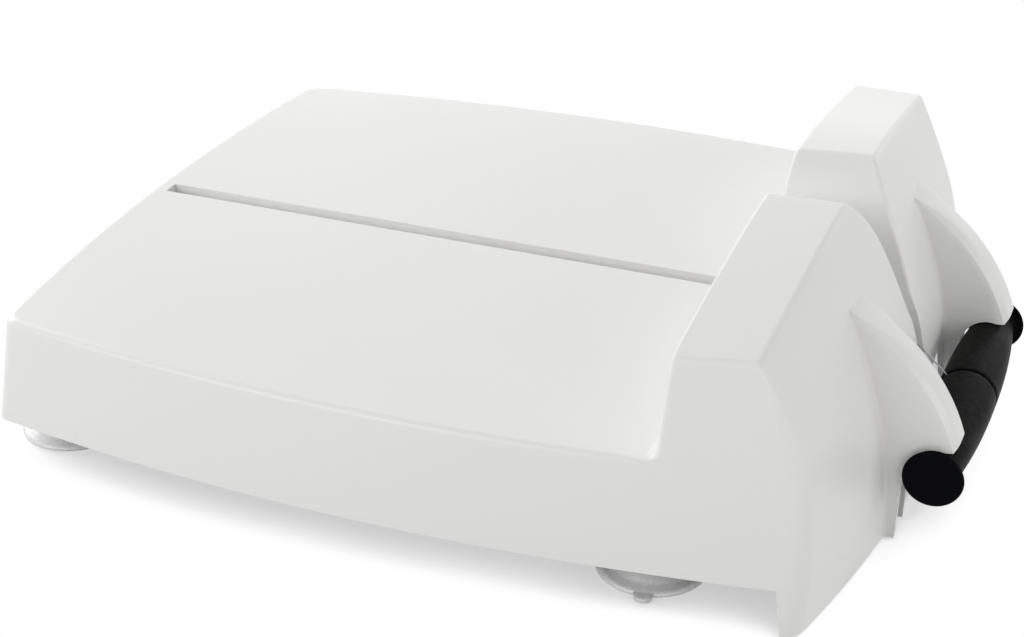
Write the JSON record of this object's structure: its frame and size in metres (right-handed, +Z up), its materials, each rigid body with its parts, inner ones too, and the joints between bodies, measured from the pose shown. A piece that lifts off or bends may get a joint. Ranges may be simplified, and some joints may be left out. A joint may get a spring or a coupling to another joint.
{
  "type": "wire cheese slicer",
  "caption": "White moulded slicing board on suction cups, with a grooved tray, a notched end wall and a black pull handle on a cutting wire parked under hooked fins.",
  "frame": {"origin": "middle of the footprint, on the table under the cup rims", "axes": "+X along the wire groove towards the handle, +Y to the rear of the picture, +Z up"},
  "size_m": [0.4766, 0.3896, 0.1477],
  "materials": {
    "shell": "satin white moulded plastic",
    "cup": "pale translucent soft vinyl",
    "steel": "turned stainless",
    "wire": "drawn stainless wire",
    "spring": "drawn spring steel",
    "dark_steel": "black oxide",
    "grip": "satin black, fine grain",
    "cap": "semi-gloss black"
  },
  "bodies": {
    "base": {"base_shell": "shell", "suction_cup_front_left": "cup", "suction_cup_front_right": "cup", "suction_cup_rear_left": "cup", "suction_cup_rear_right": "cup", "cup_studs": "steel", "cup_washers": "steel", "guide_pin": "steel", "turn_pin": "steel", "cutting_wire": "wire", "wire_tail": "wire", "tension_spring": "spring", "spring_seat": "steel"},
    "stop": {"spring_retainer": "steel", "wire_stop": "steel"},
    "lead": {"wire_lead": "wire"},
    "handle": {"lead_ferrule": "grip", "handle_rod": "steel", "wire_collar": "steel", "collar_screw": "dark_steel", "handle_grip_front": "grip", "handle_grip_rear": "grip", "handle_screws": "steel", "handle_cap_front": "cap", "handle_cap_rear": "cap"}
  },
  "joints": [
    {"name": "handle_swing", "type": "hinge", "parent": "base", "child": "lead", "pos_m": [0.18552, 0, 0.06955], "axis": [0, -1, 0], "range_deg": [0, 30]},
    {"name": "handle_draw", "type": "slide", "parent": "lead", "child": "handle", "axis": [0.7326, 0, -0.6807], "range_m": [0, 0.036], "stiffness_N_per_m": 450, "springref_m": -0.02},
    {"name": "stop_rise", "type": "slide", "parent": "base", "child": "stop", "axis": [0, 0, 1], "range_m": [0, 0.0338], "deforming": ["tension_spring", "wire_tail"]}
  ],
  "couplings": [
    {"joint": "handle_swing", "follows": "handle_draw", "rad_per_m": 14.54},
    {"joint": "stop_rise", "follows": "handle_draw", "ratio": 0.9353}
  ]
}
